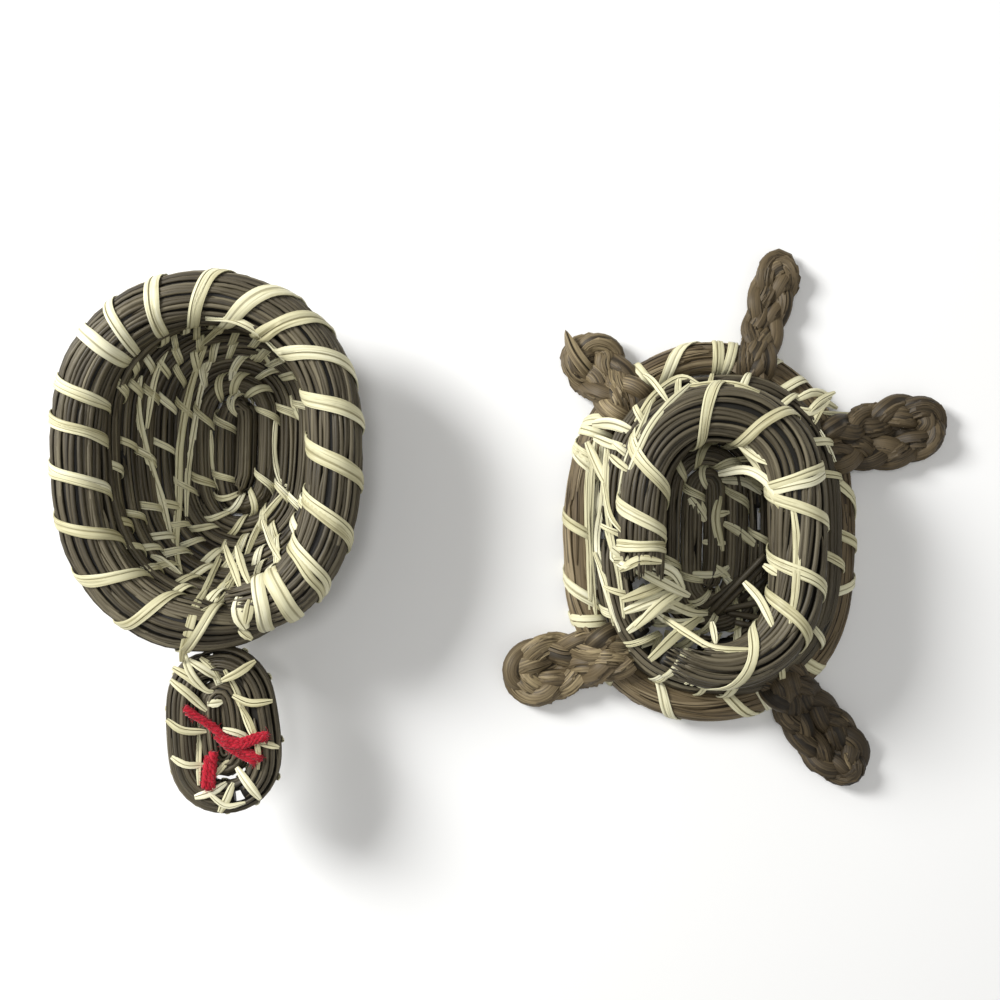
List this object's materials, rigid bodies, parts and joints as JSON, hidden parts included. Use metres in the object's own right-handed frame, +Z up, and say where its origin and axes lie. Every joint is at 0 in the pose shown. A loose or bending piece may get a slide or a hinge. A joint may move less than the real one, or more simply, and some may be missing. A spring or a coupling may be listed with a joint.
{
  "type": "woven turtle figure",
  "caption": "Small coiled turtle basket lying open in its two halves: an oval base with braided feet and tail, and a domed shell lid on its back with a coiled head.",
  "frame": {"origin": "on the surface it lies on, under the middle of the two halves as they lie side by side", "axes": "+Z up; the head end points to -Y and the tail to +Y; the shell lid lies at -X and the base at +X"},
  "size_m": [0.2324, 0.1456, 0.037],
  "materials": {
    "needles": "dry grey-brown needles in sewn bundles, satin along each needle",
    "leaf": "broad brown leaf strip rolled into a ring, fibrous, low sheen",
    "braid": "brown leaf strips in a braid, fibrous, low sheen",
    "raffia": "pale cream raffia stitches, satin",
    "yarn": "fuzzy red yarn"
  },
  "bodies": {
    "root": {"lid_shell": "needles", "lid_head": "needles", "base_basket": "needles", "foot_ring": "leaf", "tail": "braid", "foot_tail_end_left": "braid", "foot_tail_end_right": "braid", "foot_head_end_left": "braid", "foot_head_end_right": "braid"}
  },
  "joints": []
}
